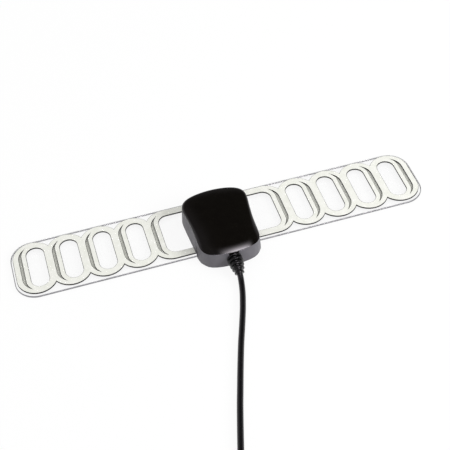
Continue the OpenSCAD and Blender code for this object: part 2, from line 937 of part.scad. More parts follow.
// The shell's seat is narrower than its free end, so a shoulder rests on the end of the grip
module plug_shell() {
    end = grip_l + shell_l;
    color("silver")
        plug_turned()
            polygon([
                [seat_r - shell_t, grip_l - shell_seat], [seat_r, grip_l - shell_seat], [seat_r, grip_l],
                [shell_d/2, grip_l], [shell_d/2, end - 0.4], [shell_d/2 - 0.3, end],
                [shell_d/2 - shell_t, end], [shell_d/2 - shell_t, grip_l + shell_t],
                [seat_r - shell_t, grip_l + shell_t - 0.4]
            ]);
}

module plug_insulator() {
    color("white")
        plug_turned()
            translate([pin_d/2 + running, grip_l - shell_seat])
                square([seat_r - shell_t - pin_d/2 - 2*running, shell_seat - 1]);
}

module plug_pin() {
    tip = 0.7;
    end = grip_l + shell_l - 1;
    color("gold")
        plug_turned()
            polygon([
                [0, grip_l - shell_seat], [pin_d/2, grip_l - shell_seat], [pin_d/2, end - tip],
                [pin_d/2 - tip, end], [0, end]
            ]);
}

adhesive_pad();
carrier_strip();
left_element();
right_element();
housing_base();
housing_cover();
case_screws();
circuit_board();
board_screws();
shield_can();
amplifier_chip();
balun_core();
balun_winding();
supply_choke();
filter_capacitors();
chip_resistors();
left_contact();
right_contact();
cable_clamp();
clamp_screws();
strain_relief();
cable_jacket();
cable_braid();
cable_dielectric();
cable_centre_wire();
cable_stretch();
cable_coil();
cable_tie();
cable_lead();
plug_grip();
plug_shell();
plug_insulator();
plug_pin();
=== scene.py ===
# %% [markdown]
# # A car television antenna
# Two chains of loops lie on a clear stick-on strip. An amplifier housing with a coaxial lead sits in the
# middle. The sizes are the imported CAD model's. This lesson dresses it with rounded edges, smooth curves
# and finishes. Its shapes are worked out in millimetres, and MM turns them into Blender's metres. The
# camera, the floor and the lamps stand in metres.

import math

import bmesh
import bpy
import numpy as np
from mathutils import Matrix, Vector


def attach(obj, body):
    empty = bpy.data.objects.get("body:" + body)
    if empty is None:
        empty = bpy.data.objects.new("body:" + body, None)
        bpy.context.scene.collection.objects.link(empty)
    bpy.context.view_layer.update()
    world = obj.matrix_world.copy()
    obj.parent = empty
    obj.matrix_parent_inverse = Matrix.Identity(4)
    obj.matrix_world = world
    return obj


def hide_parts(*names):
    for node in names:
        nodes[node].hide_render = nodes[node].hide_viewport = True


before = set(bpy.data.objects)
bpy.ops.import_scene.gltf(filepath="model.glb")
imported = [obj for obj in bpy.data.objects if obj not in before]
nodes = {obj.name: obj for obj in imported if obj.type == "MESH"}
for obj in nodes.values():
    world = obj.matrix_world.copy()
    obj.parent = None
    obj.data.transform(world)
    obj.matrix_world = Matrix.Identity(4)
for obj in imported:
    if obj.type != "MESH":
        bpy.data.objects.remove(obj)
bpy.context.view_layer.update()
MM = 0.001

# %% [markdown]
# ## Camera
# The camera stands as the photographer did: in front, a little to the left, looking down at 48 degrees. A
# long lens keeps the far end of the strip nearly as large as the near one. It is tilted by 4 degrees.

# %% Camera
AZIMUTH, ELEVATION, ROLL = (math.radians(a) for a in (-13.62, 47.60, -3.98))
CAMERA_AT = (-0.11312, -0.48218, 0.54129)
SENSOR_MM, LENS_MM = 36, 81.61
back = Vector((
    math.sin(AZIMUTH) * math.cos(ELEVATION),
    -math.cos(AZIMUTH) * math.cos(ELEVATION),
    math.sin(ELEVATION),
))
level = Vector((math.cos(AZIMUTH), math.sin(AZIMUTH), 0))
upright = back.cross(level)
camera_right = math.cos(ROLL) * level + math.sin(ROLL) * upright
camera_up = math.cos(ROLL) * upright - math.sin(ROLL) * level
camera = bpy.data.objects.new("camera", bpy.data.cameras.new("camera"))
camera.data.sensor_width = SENSOR_MM
camera.data.lens = LENS_MM
camera.data.clip_start = 0.01
camera.data.clip_end = 20
axes = Matrix((camera_right, camera_up, back)).transposed().to_4x4()
camera.matrix_world = Matrix.Translation(CAMERA_AT) @ axes
bpy.context.scene.collection.objects.link(camera)
bpy.context.scene.camera = camera
bpy.context.scene.view_settings.view_transform = "Standard"

# %% [markdown]
# ## Surfaces from grids
# Every new piece is a grid of points: rows run along it and columns run round it. Working the points out
# as whole arrays keeps each formula short and quick, and one function makes the faces.


# %% Grids to meshes
DOUBLES_WITHIN = 0.002


def grid_piece(name, points, wrap_rows=False):
    """A mesh from points[row, column]. Each row closes on itself. With wrap_rows the last row joins the
    first. Without it each end row closes to a pole, a point in its middle."""
    rows, columns = points.shape[:2]
    index = np.arange(rows * columns).reshape(rows, columns)
    index = np.hstack([index, index[:, :1]])
    if wrap_rows:
        index = np.vstack([index, index[:1]])
    corners = (index[:-1, :-1], index[:-1, 1:], index[1:, 1:], index[1:, :-1])
    faces = np.stack(corners, axis=-1).reshape(-1, 4).tolist()
    vertices = points.reshape(-1, 3)
    if not wrap_rows:
        first, last = rows * columns, rows * columns + 1
        vertices = np.vstack([vertices, points[0].mean(axis=0), points[-1].mean(axis=0)])
        faces += np.stack([np.full(columns, first), index[0, 1:], index[0, :-1]], axis=-1).tolist()
        faces += np.stack([np.full(columns, last), index[-1, :-1], index[-1, 1:]], axis=-1).tolist()
    mesh = bpy.data.meshes.new(name)
    mesh.from_pydata(vertices.tolist(), [], faces)
    return add_piece(name, mesh, merge=False)


def add_piece(name, mesh, merge=True, sharp=40):
    """Links a mesh as a piece of the object, with faces outwards and smooth shading up to a sharp angle."""
    work = bmesh.new()
    work.from_mesh(mesh)
    if merge:
        bmesh.ops.remove_doubles(work, verts=work.verts, dist=DOUBLES_WITHIN * MM)
    bmesh.ops.recalc_face_normals(work, faces=work.faces)
    work.to_mesh(mesh)
    work.free()
    mesh.shade_smooth()
    mesh.set_sharp_from_angle(angle=math.radians(sharp))
    piece = bpy.data.objects.new(name, mesh)
    bpy.context.scene.collection.objects.link(piece)
    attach(piece, "root")
    return piece


# %% [markdown]
# ## Curves and sweeps
# A moulded rib, a cable and a strap are all one outline carried along a path. The path is a smooth curve
# through a few known points. At each step a circle is set square to it.


# %% Curves and sweeps
def smooth_path(points, step=2.0):
    """A Catmull-Rom curve through points, in even steps. Each stretch blends its ends and their slopes."""
    p = np.asarray(points, float)
    p = np.vstack([2 * p[0] - p[1], p, 2 * p[-1] - p[-2]])
    t = np.linspace(0, 1, 24, endpoint=False)[:, None]
    a, b, c, d = (p[i:len(p) - 3 + i, None] for i in range(4))
    curve = 0.5 * (2 * b + (c - a) * t + (2 * a - 5 * b + 4 * c - d) * t**2 + (3 * b - a - 3 * c + d) * t**3)
    return even_steps(np.vstack([curve.reshape(-1, 3), p[-2]]), step)


def even_steps(line, step):
    """The same line with points a step apart, by linear interpolation along its length."""
    along = np.concatenate([[0], np.cumsum(np.linalg.norm(np.diff(line, axis=0), axis=1))])
    places = np.linspace(0, along[-1], max(2, round(along[-1] / step) + 1))
    return np.stack([np.interp(places, along, line[:, k]) for k in range(3)], axis=-1)


def unit(v):
    """Vectors scaled to a length of one."""
    return v / np.linalg.norm(v, axis=-1, keepdims=True)


def swept(path, radius, sides):
    """Rings of points round a path: centre + radius * (cos * side + sin * up), square to its heading."""
    heading = unit(np.gradient(path, axis=0))
    side = unit(np.cross(heading, (0, 0, 1)))
    up = np.cross(side, heading)
    turn = np.linspace(0, 2 * np.pi, sides, endpoint=False)[None, :, None]
    return path[:, None] + radius * (np.cos(turn) * side[:, None] + np.sin(turn) * up[:, None])


def path_length(path):
    """The sum of the steps between a path's points."""
    return np.linalg.norm(np.diff(path, axis=0), axis=1).sum()


# %% [markdown]
# ## The coaxial cable
# It leaves the strain relief, comes down to the ground, runs out of the picture and is wound up in a coil.
# The coil has four layers, wound in and out by turns, and its last turn leads to the aerial plug. One
# sweep makes the whole cable, so that no joint shows. The route repeats the points of the CAD source.

# %% Route of the cable
CABLE_D = 4.2
OUTLET_Z = 7.6
HOUSING_X = -1.0
WALL_Y = -40.3
BEND_R = 30.0
FLANGE_T, RIB_COUNT, RIB_PITCH, RIB_T = 1.0, 4, 2.9, 1.4
RELIEF_L = FLANGE_T + RIB_COUNT * RIB_PITCH
RELIEF_TURN = RELIEF_L / BEND_R
relief_end = np.array([
    HOUSING_X, WALL_Y - BEND_R * math.sin(RELIEF_TURN), OUTLET_Z - BEND_R * (1 - math.cos(RELIEF_TURN)),
])
just_outside = relief_end - 0.3 * np.array([0, math.cos(RELIEF_TURN), math.sin(RELIEF_TURN)])
route_out = [
    just_outside, (-1.15, -54.8, 3.9),
    (-1.7, -58.3, 2.8), (-2.6, -62.8, 2.2), (-3.8, -67.8, 2.1), (-5.4, -73.3, 2.1), (-7.4, -79.8, 2.1),
    (-9.8, -86.8, 2.1), (-13, -95.8, 2.1), (-16.6, -105.8, 2.1), (-20.3, -116.8, 2.1), (-23.9, -127.8, 2.1),
    (-27.4, -138.8, 2.1), (-30.9, -149.8, 2.1), (-34.2, -160.8, 2.1), (-37.2, -171, 2.1),
    (-40.1, -181, 2.15), (-43.1, -191, 2.3), (-46, -200, 2.5), (-48.9, -209, 2.7), (-51.3, -216.6, 2.85),
]
route_home = [
    (-15.5, -275.3, 14.4), (-3.3, -275.3, 14), (1, -275.4, 13.1), (6, -275.8, 11.5), (11, -276.3, 9.6),
    (16, -276.9, 7.8), (21, -277.5, 6.6), (25, -277.9, 6), (29, -278, 5.8),
]

# %% Turns of the coil
COIL_CENTRE = np.array([-25.0, -244.0])
TURNS, STEPS_PER_TURN, FIRST_ANGLE = 17.3, 72, 162
CROSSING_SHARE, CROSSING_LIFT = 1 / 6, 0.5
TIE_T = 0.8
FIRST_HEIGHT = TIE_T + CABLE_D / 2
LAYER_RISE = CABLE_D * math.sin(math.radians(60))
wound_in = [33.4, 29.2, 25.0, 20.8, 16.6]
wound_out = [18.7, 22.9, 27.1, 31.3]
turn_radius = np.array(wound_in + wound_out + wound_in + wound_out + wound_out[-1:])
turn_layer = np.repeat([0, 1, 2, 3], [5, 4, 5, 5])


def coil_path():
    """A spiral: in the last sixth of each turn, its radius and height step smoothly to the next turn's."""
    turns = np.arange(0, TURNS, 1 / STEPS_PER_TURN)
    number = np.floor(turns).astype(int)
    share = np.clip((turns - number - (1 - CROSSING_SHARE)) / CROSSING_SHARE, 0, 1)
    share = share * share * (3 - 2 * share)
    following = np.minimum(number + 1, len(turn_radius) - 1)
    radius = turn_radius[number] * (1 - share) + turn_radius[following] * share
    layer = turn_layer[number] * (1 - share) + turn_layer[following] * share
    height = FIRST_HEIGHT + LAYER_RISE * layer + CROSSING_LIFT * layer * np.sin(np.pi * share)
    angle = math.radians(FIRST_ANGLE) + 2 * np.pi * turns
    x = COIL_CENTRE[0] + radius * np.cos(angle)
    y = COIL_CENTRE[1] + radius * np.sin(angle)
    return np.stack([x, y, height], axis=-1)


# %% The cable in one sweep
CABLE_STEP, CABLE_SIDES = 1.4, 16
coil = coil_path()
way_out = smooth_path(route_out)
way_home = smooth_path([coil[-1], *route_home])
cable_path = even_steps(np.vstack([way_out, coil[1:], way_home[1:]]), CABLE_STEP) * MM
cable = grid_piece("coaxial_cable", swept(cable_path, CABLE_D / 2 * MM, CABLE_SIDES))
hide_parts("cable_stretch", "cable_coil", "cable_lead")
print("cable:", round(path_length(cable_path), 3), "m along its line,", len(cable.data.polygons), "faces")

# %% [markdown]
# ## The aerial plug
# A turned part is a profile spun round its axis, as on a lathe. The grip is moulded with four finger
# grooves. The thin metal shell seats in the grip, and the pin stands inside it.

# %% Turned parts
PLUG_AT = np.array([29.15, -278.0, 5.8])
GRIP_L, SHELL_L, SHELL_SEAT = 24.0, 10.5, 6.0
GRIP_R, SHELL_R, SEAT_R, SHELL_T, PIN_R = 5.8, 4.75, 4.35, 0.5, 1.2


def rounded_profile(corners, radius=0.3, steps=4):
    """Points (along, out) of a profile, with a short curve of the radius in place of each inner corner."""
    corners = np.asarray(corners, float)
    before, at, after = corners[:-2], corners[1:-1], corners[2:]
    into, out = before - at, after - at
    shorter_side = np.minimum(np.linalg.norm(into, axis=1), np.linalg.norm(out, axis=1))
    reach = np.minimum(radius, 0.45 * shorter_side)[:, None]
    start, end = at + unit(into) * reach, at + unit(out) * reach
    t = np.linspace(0, 1, steps)[None, :, None]
    bends = (1 - t) ** 2 * start[:, None] + 2 * t * (1 - t) * at[:, None] + t**2 * end[:, None]
    return np.vstack([corners[:1], bends.reshape(-1, 2), corners[-1:]])


def turned(name, corners, at, axis="x", sides=64, radius=0.3, closed=False):
    """A profile of (along, out) points spun round an axis: out * cos and out * sin across, along on it."""
    profile = rounded_profile(corners, radius)
    turn = np.linspace(0, 2 * np.pi, sides, endpoint=False)
    along = np.broadcast_to(profile[:, :1], (len(profile), sides))
    across, over = profile[:, 1:] * np.cos(turn), profile[:, 1:] * np.sin(turn)
    order = (along, across, over) if axis == "x" else (across, over, along)
    points = (np.stack(order, axis=-1) + np.asarray(at)) * MM
    return grid_piece(name, points, wrap_rows=closed)


# %% Plug pieces
FIRST_GROOVE, GROOVE_PITCH, GROOVE_DEPTH, GRIP_CHAMFER = 9, 2.2, 0.5, 0.8
groove = ((0, 0), (0.1, GROOVE_DEPTH), (1.0, GROOVE_DEPTH), (1.1, 0))
groove_starts = FIRST_GROOVE + GROOVE_PITCH * np.arange(4)
seat_start = GRIP_L - SHELL_SEAT
grip_corners = [(0, 0.1), (0, 2.8), (5, 3.2), (7, GRIP_R - GRIP_CHAMFER), (8, GRIP_R)]
grip_corners += [(x + along, GRIP_R - down) for x in groove_starts for along, down in groove]
grip_corners += [(GRIP_L - GRIP_CHAMFER, GRIP_R), (GRIP_L, GRIP_R - GRIP_CHAMFER)]
grip_corners += [(GRIP_L, SEAT_R + 0.05), (seat_start, SEAT_R + 0.05), (seat_start, 0.1)]
plug_grip = turned("plug_grip_moulding", grip_corners, PLUG_AT, radius=0.25)
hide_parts("plug_grip")

shell_end = GRIP_L + SHELL_L
shell_corners = [
    (seat_start, SEAT_R - 0.2), (seat_start, SEAT_R), (GRIP_L, SEAT_R), (GRIP_L, SHELL_R),
    (shell_end - 0.5, SHELL_R), (shell_end, SHELL_R - 0.25), (shell_end, SHELL_R - SHELL_T),
    (GRIP_L + SHELL_T, SHELL_R - SHELL_T), (GRIP_L + 0.1, SEAT_R - SHELL_T), (seat_start, SEAT_R - SHELL_T),
]
plug_shell = turned("plug_shell_metal", shell_corners, PLUG_AT, radius=0.15, closed=True)
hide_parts("plug_shell")

pin_end = shell_end - 1.0
pin_corners = [
    (seat_start, 0.05), (seat_start, PIN_R), (pin_end - 0.9, PIN_R), (pin_end, 0.45), (pin_end, 0.05),
]
plug_pin = turned("plug_pin_metal", pin_corners, PLUG_AT, sides=40, radius=0.4)
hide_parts("plug_pin")

# %% [markdown]
# ## The tie round the coil
# A ribbon tie goes once round all the turns and locks in a small head. It is a flat, round-edged section
# carried round the coil's own section, a rectangle with soft corners.

# %% Tie
TIE_START, TIE_HALF_TURN = 35, 5.73
TIE_ANGLE = math.radians(TIE_START + TIE_HALF_TURN)
TIE_W = 5.0
COIL_R = 25
COIL_HALF_W = 2.5 * CABLE_D
COIL_H = CABLE_D * (1 + 3 * math.sin(math.radians(60)))
radial = np.array([math.cos(TIE_ANGLE), math.sin(TIE_ANGLE), 0])
tangent = np.array([-radial[1], radial[0], 0])
upwards = np.array([0, 0, 1])
tie_middle = np.array([*COIL_CENTRE, TIE_T + COIL_H / 2]) + COIL_R * radial


def superellipse(half_u, half_v, sides, power):
    """A rounded rectangle: both coordinates are the signed 2/power powers of cosine and sine."""
    t = np.linspace(0, 2 * np.pi, sides, endpoint=False)
    u, v = np.cos(t), np.sin(t)
    return half_u * np.sign(u) * np.abs(u) ** (2 / power), half_v * np.sign(v) * np.abs(v) ** (2 / power)


def strap_points():
    """The ribbon's section, thick outwards and wide along the turns, at each place round the coil's."""
    out_u, up_v = superellipse(COIL_HALF_W + TIE_T / 2 + 0.05, (COIL_H + TIE_T) / 2, 96, 7)
    line = np.stack([out_u, up_v], axis=-1)
    slope = unit(np.roll(line, -1, axis=0) - np.roll(line, 1, axis=0))
    outward = np.stack([slope[:, 1], -slope[:, 0]], axis=-1)
    thick, wide = superellipse(TIE_T / 2 - 0.02, TIE_W / 2, 20, 4)
    flat = line[:, None] + outward[:, None] * thick[None, :, None]
    return tie_middle + flat[..., :1] * radial + flat[..., 1:] * upwards + wide[None, :, None] * tangent


tie_strap = grid_piece("coil_tie_strap", strap_points() * MM, wrap_rows=True)
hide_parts("cable_tie")


def block_points(half_size, rows=17, sides=32, power=5):
    """A box with soft edges: superellipse rings whose size falls off to both ends as a superellipse too."""
    lift = np.linspace(-1, 1, rows)
    lift = np.sign(lift) * (1 - (1 - np.abs(lift)) ** 2)
    shrink = (1 - np.abs(lift) ** power) ** (1 / power)
    u, v = superellipse(half_size[0], half_size[1], sides, power)
    height = np.broadcast_to(lift[:, None] * half_size[2], (rows, sides))
    return np.stack([shrink[:, None] * u, shrink[:, None] * v, height], axis=-1)


HEAD_HALF_SIZE, HEAD_IN, HEAD_UP = (2.1, 3.3, 1.5), 4, 0.9
head = block_points(HEAD_HALF_SIZE)
head_at = tie_middle + (COIL_HALF_W - HEAD_IN) * radial + np.array([0, 0, COIL_H / 2 + TIE_T + HEAD_UP])
head_points = head_at + head[..., :1] * radial + head[..., 1:2] * tangent + head[..., 2:] * upwards
tie_head = grid_piece("coil_tie_head", head_points[1:-1] * MM)

# %% [markdown]
# ## The housing's outline
# Seen from above, the housing is a square with bowed ends and waisted sides. The CAD source draws it with
# one formula, and the same formula gives the cover as many points as its gloss needs.

# %% Outline of the housing
BACK_W, FRONT_W, HOUSING_D = 52, 45, 51.4
HALF_W, TAPER, WAIST = (BACK_W + FRONT_W) / 4, (BACK_W - FRONT_W) / 4, 2.2
FRONT_BOW, BACK_BOW = 3.6, 5.6
STRIP_W, FRONT_OVERHANG = 51.0, 11.2
FRONT_Y = -STRIP_W / 2 - FRONT_OVERHANG
MIDDLE_Y = FRONT_Y + HOUSING_D / 2
SEAM_Z, RIM_H, EDGE_R, CROWN, WALL, DECK_Z = 14.2, 0.7, 2.4, 1.3, 1.8, 3.6
OUTLINE_SIDES, SQUARENESS = 288, 6


def housing_outline(inset, sides=OUTLINE_SIDES):
    """A squircle. Its half width tapers to the front and sinks at the waist, and its ends bow out."""
    a = np.linspace(0, 2 * np.pi, sides, endpoint=False)
    size = (np.abs(np.cos(a)) ** SQUARENESS + np.abs(np.sin(a)) ** SQUARENESS) ** (-1 / SQUARENESS)
    u, v = size * np.cos(a), size * np.sin(a)
    half_w = HALF_W + TAPER * v - WAIST * (1 - v * v) - inset
    bow = np.where(v > 0, BACK_BOW, -FRONT_BOW) * (1 - u * u) * np.abs(v)
    return half_w * u, MIDDLE_Y + (HOUSING_D / 2 - inset) * v + bow


def outline_ring(inset, z, share=1.0):
    """One ring of the housing at a height, drawn towards its middle by a share."""
    x, y = housing_outline(inset)
    y_drawn_in = MIDDLE_Y + (y - MIDDLE_Y) * share
    return np.stack([HOUSING_X + x * share, y_drawn_in, np.broadcast_to(z, x.shape)], axis=-1)


# %% [markdown]
# ## The cover
# It is moulded in gloss black ABS, 1.8 mm thick, with a locating lip inside and a soft upper edge. One
# profile goes from the middle of its ceiling down the lip, round the rim and up over the crown, and each
# of its points gives one ring. Gloss shows every facet, so the rings have 288 points. The front edge leans
# back more than the back edge does, which gives it the broad soft highlight.

# %% The cover's edge profile
edge_z = SEAM_Z + RIM_H
ceiling_z = edge_z + EDGE_R - WALL
foot_z, foot_r = SEAM_Z + 0.02, 0.25
FRONT_LEAN, LEAN_STARTS, LEAN_SPREAD = 42, 0.3, 1.1
crown_slope = math.atan(4 * CROWN / (HOUSING_D / 2 - EDGE_R))
shoulder_z = edge_z + EDGE_R * math.cos(crown_slope)


def edge_profile(steps=15):
    """Rings (inset, z) of the soft edge, an arc that ends in the crown's slope. At the back it starts
    upright above a short rim. Towards the front it starts with a lean and has a larger radius."""
    a = np.linspace(0, 2 * np.pi, OUTLINE_SIDES, endpoint=False)
    forward = np.clip((LEAN_STARTS - np.sin(a)) / LEAN_SPREAD, 0, 1)
    forward = forward * forward * (3 - 2 * forward)
    start = np.radians(FRONT_LEAN) * forward
    low_z = foot_z + foot_r + (edge_z - foot_z - foot_r) * (1 - forward)
    end = math.pi / 2 - crown_slope
    radius = (shoulder_z - low_z) / (math.sin(end) - np.sin(start))
    angle = start + (end - start) * np.linspace(0, 1, steps)[:, None]
    return radius * (np.cos(start) - np.cos(angle)), low_z + radius * (np.sin(angle) - np.sin(start))


# %% Cover
edge_inset, edge_height = edge_profile()
crown_share = 1 - np.linspace(0, 1, 28)[1:-1] ** 1.5
LIP_END_Z, LIP_IN, LIP_OUT, LIP_SOFT = SEAM_Z - 2, WALL + 1.35, WALL + 0.15, 0.2
lip_side_end = SEAM_Z - 1.8
# The ceiling and the inner wall
cover_rings = [outline_ring(WALL, ceiling_z, s) for s in (0.02, 0.5, 0.97, 1.0)]
cover_rings += [outline_ring(WALL + 0.02, z) for z in (ceiling_z - 0.4, edge_z)]
# Round the lip
cover_rings += [outline_ring(LIP_IN, z) for z in (edge_z - 0.05, lip_side_end)]
cover_rings += [outline_ring(i, LIP_END_Z) for i in (LIP_IN - LIP_SOFT, LIP_OUT + LIP_SOFT)]
cover_rings += [outline_ring(LIP_OUT, z) for z in (lip_side_end, foot_z)]
# Round the foot, which stands on the base
cover_rings += [outline_ring(i, foot_z) for i in (WALL - 0.3, foot_r)]
for a in np.radians((18, 36, 54, 72, 90)):
    cover_rings.append(outline_ring(foot_r * (1 - math.sin(a)), foot_z + foot_r * (1 - math.cos(a))))
# Up the soft edge and over the crown
cover_rings += [outline_ring(i, z) for i, z in zip(edge_inset, edge_height)]
cover_rings += [outline_ring(edge_inset[-1], shoulder_z + CROWN * (1 - s**4), s) for s in crown_share]
cover = grid_piece("gloss_cover", np.stack(cover_rings) * MM)
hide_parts("housing_cover")

# %% [markdown]
# ## Posts and tongue under the cover
# Four posts take the case screws, and a tongue reaches down to close the slot above the strain relief.

# %% Posts
POST_R, BORE_R = 3.0, 1.25
FRONT_POST_IN, BACK_POST_IN = (8, 4.4), (10, 4)
FRONT_POST_FOOT, BACK_POST_FOOT = 2.6, 5.4
front_posts = (FRONT_W / 2 - FRONT_POST_IN[0], FRONT_Y + FRONT_POST_IN[1], FRONT_POST_FOOT)
back_posts = (BACK_W / 2 - BACK_POST_IN[0], FRONT_Y + HOUSING_D - BACK_POST_IN[1], BACK_POST_FOOT)
post_top = ceiling_z + 0.2
posts = []
for x, y, foot in (front_posts, back_posts):
    corners = [(foot, BORE_R), (foot, POST_R), (post_top, POST_R), (post_top, BORE_R)]
    for side in (-1, 1):
        at = (HOUSING_X + side * x, y, 0)
        posts.append(turned(f"cover_post_{len(posts)}", corners, at, axis="z", sides=40, closed=True))

# %% Tongue
NECK_R = 3.3
tongue_x = np.linspace(-NECK_R + 0.01, NECK_R - 0.01, 33)
outline_x, outline_y = housing_outline(0, 2880)
front = outline_y < MIDDLE_Y
by_x = np.argsort(outline_x[front])
tongue_y = np.interp(tongue_x, outline_x[front][by_x], outline_y[front][by_x])
tongue_low = OUTLET_Z + np.sqrt((NECK_R + 0.15) ** 2 - tongue_x**2)
# The tongue's section: distance from the wall's outer face, and share of the height up to the seam
section_y = np.array([0.15, 0.5, 1.0, 1.5, 1.95, 1.95, 1.5, 1.0, 0.5, 0.15, 0, 0])
section_z = np.array([0, 0, 0, 0, 0.05, 1, 1, 1, 1, 1, 0.96, 0.06])
tongue_points = np.stack(np.broadcast_arrays(
    HOUSING_X + tongue_x[:, None],
    tongue_y[:, None] + section_y,
    tongue_low[:, None] * (1 - section_z) + (SEAM_Z + 0.01) * section_z,
), axis=-1)
tongue = grid_piece("cover_tongue", tongue_points * MM)


# %% [markdown]
# ## Moulded and stamped pieces from the CAD
# The base and the two elements have the right shape, but their edges are perfectly sharp. No real edge is.
# A copy of each is merged into one skin, and a bevel of a few tenths of a millimetre gives its edges a
# glint.


# %% Softened copies
def softened(node, name, width, angle=35, segments=2):
    """A merged copy of a CAD node with its edges over the angle rounded by the width."""
    source = nodes[node].data
    piece = add_piece(name, source.copy(), merge=True, sharp=angle)
    piece.data.materials.clear()
    work = bmesh.new()
    work.from_mesh(piece.data)
    bmesh.ops.dissolve_limit(work, angle_limit=math.radians(1), verts=work.verts, edges=work.edges)
    work.to_mesh(piece.data)
    work.free()
    piece.data.set_sharp_from_angle(angle=math.radians(angle))
    rounding = piece.modifiers.new("edges", "BEVEL")
    rounding.width, rounding.segments = width * MM, segments
    rounding.limit_method, rounding.angle_limit = "ANGLE", math.radians(angle)
    rounding.use_clamp_overlap = False
    rounding.harden_normals = True
    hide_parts(node)
    return piece


base = softened("housing_base", "moulded_base", 0.2)
SKIN_DEPTH, SIDE_SHARE = 0.3, 0.9


def flare(points):
    """Walls that lean out towards the bottom. A point on the outer side moves by waist * (1 - v * v) *
    depth, where v is its place along the side, and depth is 0 at the seam and 1 at the deck."""
    v = np.clip((points[:, 1] - MIDDLE_Y) / (HOUSING_D / 2), -1, 1)
    side_x = (HALF_W + TAPER * v - WAIST * (1 - v * v)) * (1 - np.abs(v) ** SQUARENESS) ** (1 / SQUARENESS)
    x = points[:, 0] - HOUSING_X
    outside = (np.abs(x) > side_x - SKIN_DEPTH) & (np.abs(v) < SIDE_SHARE)
    depth = np.clip((SEAM_Z - points[:, 2]) / (SEAM_Z - DECK_Z), 0, 1)
    moved = points.copy()
    moved[:, 0] += np.where(outside, np.sign(x) * WAIST * (1 - v * v) * depth, 0)
    return moved


base_points = np.zeros(len(base.data.vertices) * 3)
base.data.vertices.foreach_get("co", base_points)
upright_walls = base_points.reshape(-1, 3) / MM
leaning_walls = flare(upright_walls)
base.data.vertices.foreach_set("co", (leaning_walls * MM).ravel())
print("base wall moved out by up to", round(np.abs(leaning_walls - upright_walls).max(), 2), "mm")

# %% Loops of sheet metal
elements = [softened(f"{side}_element", f"{side}_loop_chain", 0.3) for side in ("left", "right")]

# %% [markdown]
# ## The clear strip
# A polished sheet with round corners. A small profile rounds its edge all the way round, because the edge
# is where light collects and shows that the sheet is there.

# %% Strip
STRIP_L, STRIP_T, STRIP_Z = 300.0, 1.6, 0.8
CORNER_R, STRIP_EDGE_R = 15.5, 0.7
strip_top = STRIP_Z + STRIP_T


def strip_ring(inset, z, corner_points=25):
    """A rounded rectangle drawn inwards by an inset: quarter circles about the four corner centres."""
    a = np.radians(np.linspace(0, 90, corner_points))
    turn = np.concatenate([a + q * np.pi / 2 for q in range(4)])
    right = np.repeat([1, -1, -1, 1], corner_points) * (STRIP_L / 2 - CORNER_R)
    top = np.repeat([1, 1, -1, -1], corner_points) * (STRIP_W / 2 - CORNER_R)
    r = CORNER_R - inset
    return np.stack([right + r * np.cos(turn), top + r * np.sin(turn), np.full(len(turn), z)], axis=-1)


bend = np.radians(np.linspace(0, 90, 6))
in_by_sine = STRIP_EDGE_R * (1 - np.sin(bend))
in_by_cosine = STRIP_EDGE_R * (1 - np.cos(bend))
flat_insets = (CORNER_R * 0.6, STRIP_EDGE_R + 0.05)
strip_rings = [strip_ring(i, STRIP_Z) for i in flat_insets]
strip_rings += [strip_ring(i, STRIP_Z + up) for i, up in zip(in_by_sine, in_by_cosine)]
strip_rings += [strip_ring(i, strip_top - down) for i, down in zip(in_by_cosine, in_by_sine)]
strip_rings += [strip_ring(i, strip_top) for i in reversed(flat_insets)]
strip = grid_piece("clear_strip", np.stack(strip_rings) * MM)
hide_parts("carrier_strip")

# %% [markdown]
# ## Painted shade in the slits
# A thin grey film at the bottom of the elements' crescent slits is painted shade for the deep shade in them.
# Each crescent lies between two long rounded outlines, so its width at any y is the distance between them.

# %% Slit film
FIRST_LOOP_X, LOOP_PITCH, HOLE_SHIFT, SLIT_W = 37.9, 24.0, 1.7, 1.9
SLIT_INNER_R, SLIT_INNER_STRAIGHT, SLIT_OUTER_STRAIGHT, SLIT_END_Y = 9.9, 11.6, 9.3, 17.7
FILM_T, LEAST_FILM_W = 0.12, 0.02


def rounded_side(y, radius, straight):
    """How far a long rounded outline reaches at y: the radius along its straight part, then a circle's."""
    beyond = np.clip(np.abs(y) - straight, 0, radius)
    return np.sqrt(radius**2 - beyond**2)


def slit_points(loop_x, side):
    """Four corners of the film's section at each y: inner and outer edge, low and high."""
    y = SLIT_END_Y * np.sin(np.linspace(-np.pi / 2, np.pi / 2, 61))
    inner = loop_x + rounded_side(y, SLIT_INNER_R, SLIT_INNER_STRAIGHT)
    outer = loop_x + SLIT_W / 2 + rounded_side(y, SLIT_INNER_R + SLIT_W / 2, SLIT_OUTER_STRAIGHT)
    outer = np.maximum(outer, inner + LEAST_FILM_W)
    x = side * np.stack([inner, outer, outer, inner], axis=-1)
    z = strip_top + np.array([0.0, 0.0, FILM_T, FILM_T])
    return np.stack(np.broadcast_arrays(x, y[:, None], z), axis=-1)


# Painted shade: one grey film in each slit stands in for the shade deep inside it.
slit_shade_films = []
for side, name in ((-1, "left"), (1, "right")):
    for k in range(5):
        loop_x = FIRST_LOOP_X + k * LOOP_PITCH - HOLE_SHIFT
        film = grid_piece(f"{name}_slit_shade_film_{k}", slit_points(loop_x, side) * MM)
        slit_shade_films.append(film)
print("slit films:", len(slit_shade_films))

# %% [markdown]
# ## Adhesive pad
# Closed-cell foam tape, cut to the housing's outline. Cut foam bulges a little between its two faces.

# %% Pad
PAD_INSET, PAD_T, FACE_RING_IN = 3, 0.8, 8
pad_profile = [(FACE_RING_IN, 0.0), (0.15, 0.0), (0.05, 0.1), (-0.05, PAD_T / 2)]
pad_profile += [(0.05, 0.7), (0.15, PAD_T), (FACE_RING_IN, PAD_T)]
pad_rings = [outline_ring(PAD_INSET + i, z) for i, z in pad_profile]
pad = grid_piece("foam_pad", np.stack(pad_rings) * MM)
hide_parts("adhesive_pad")

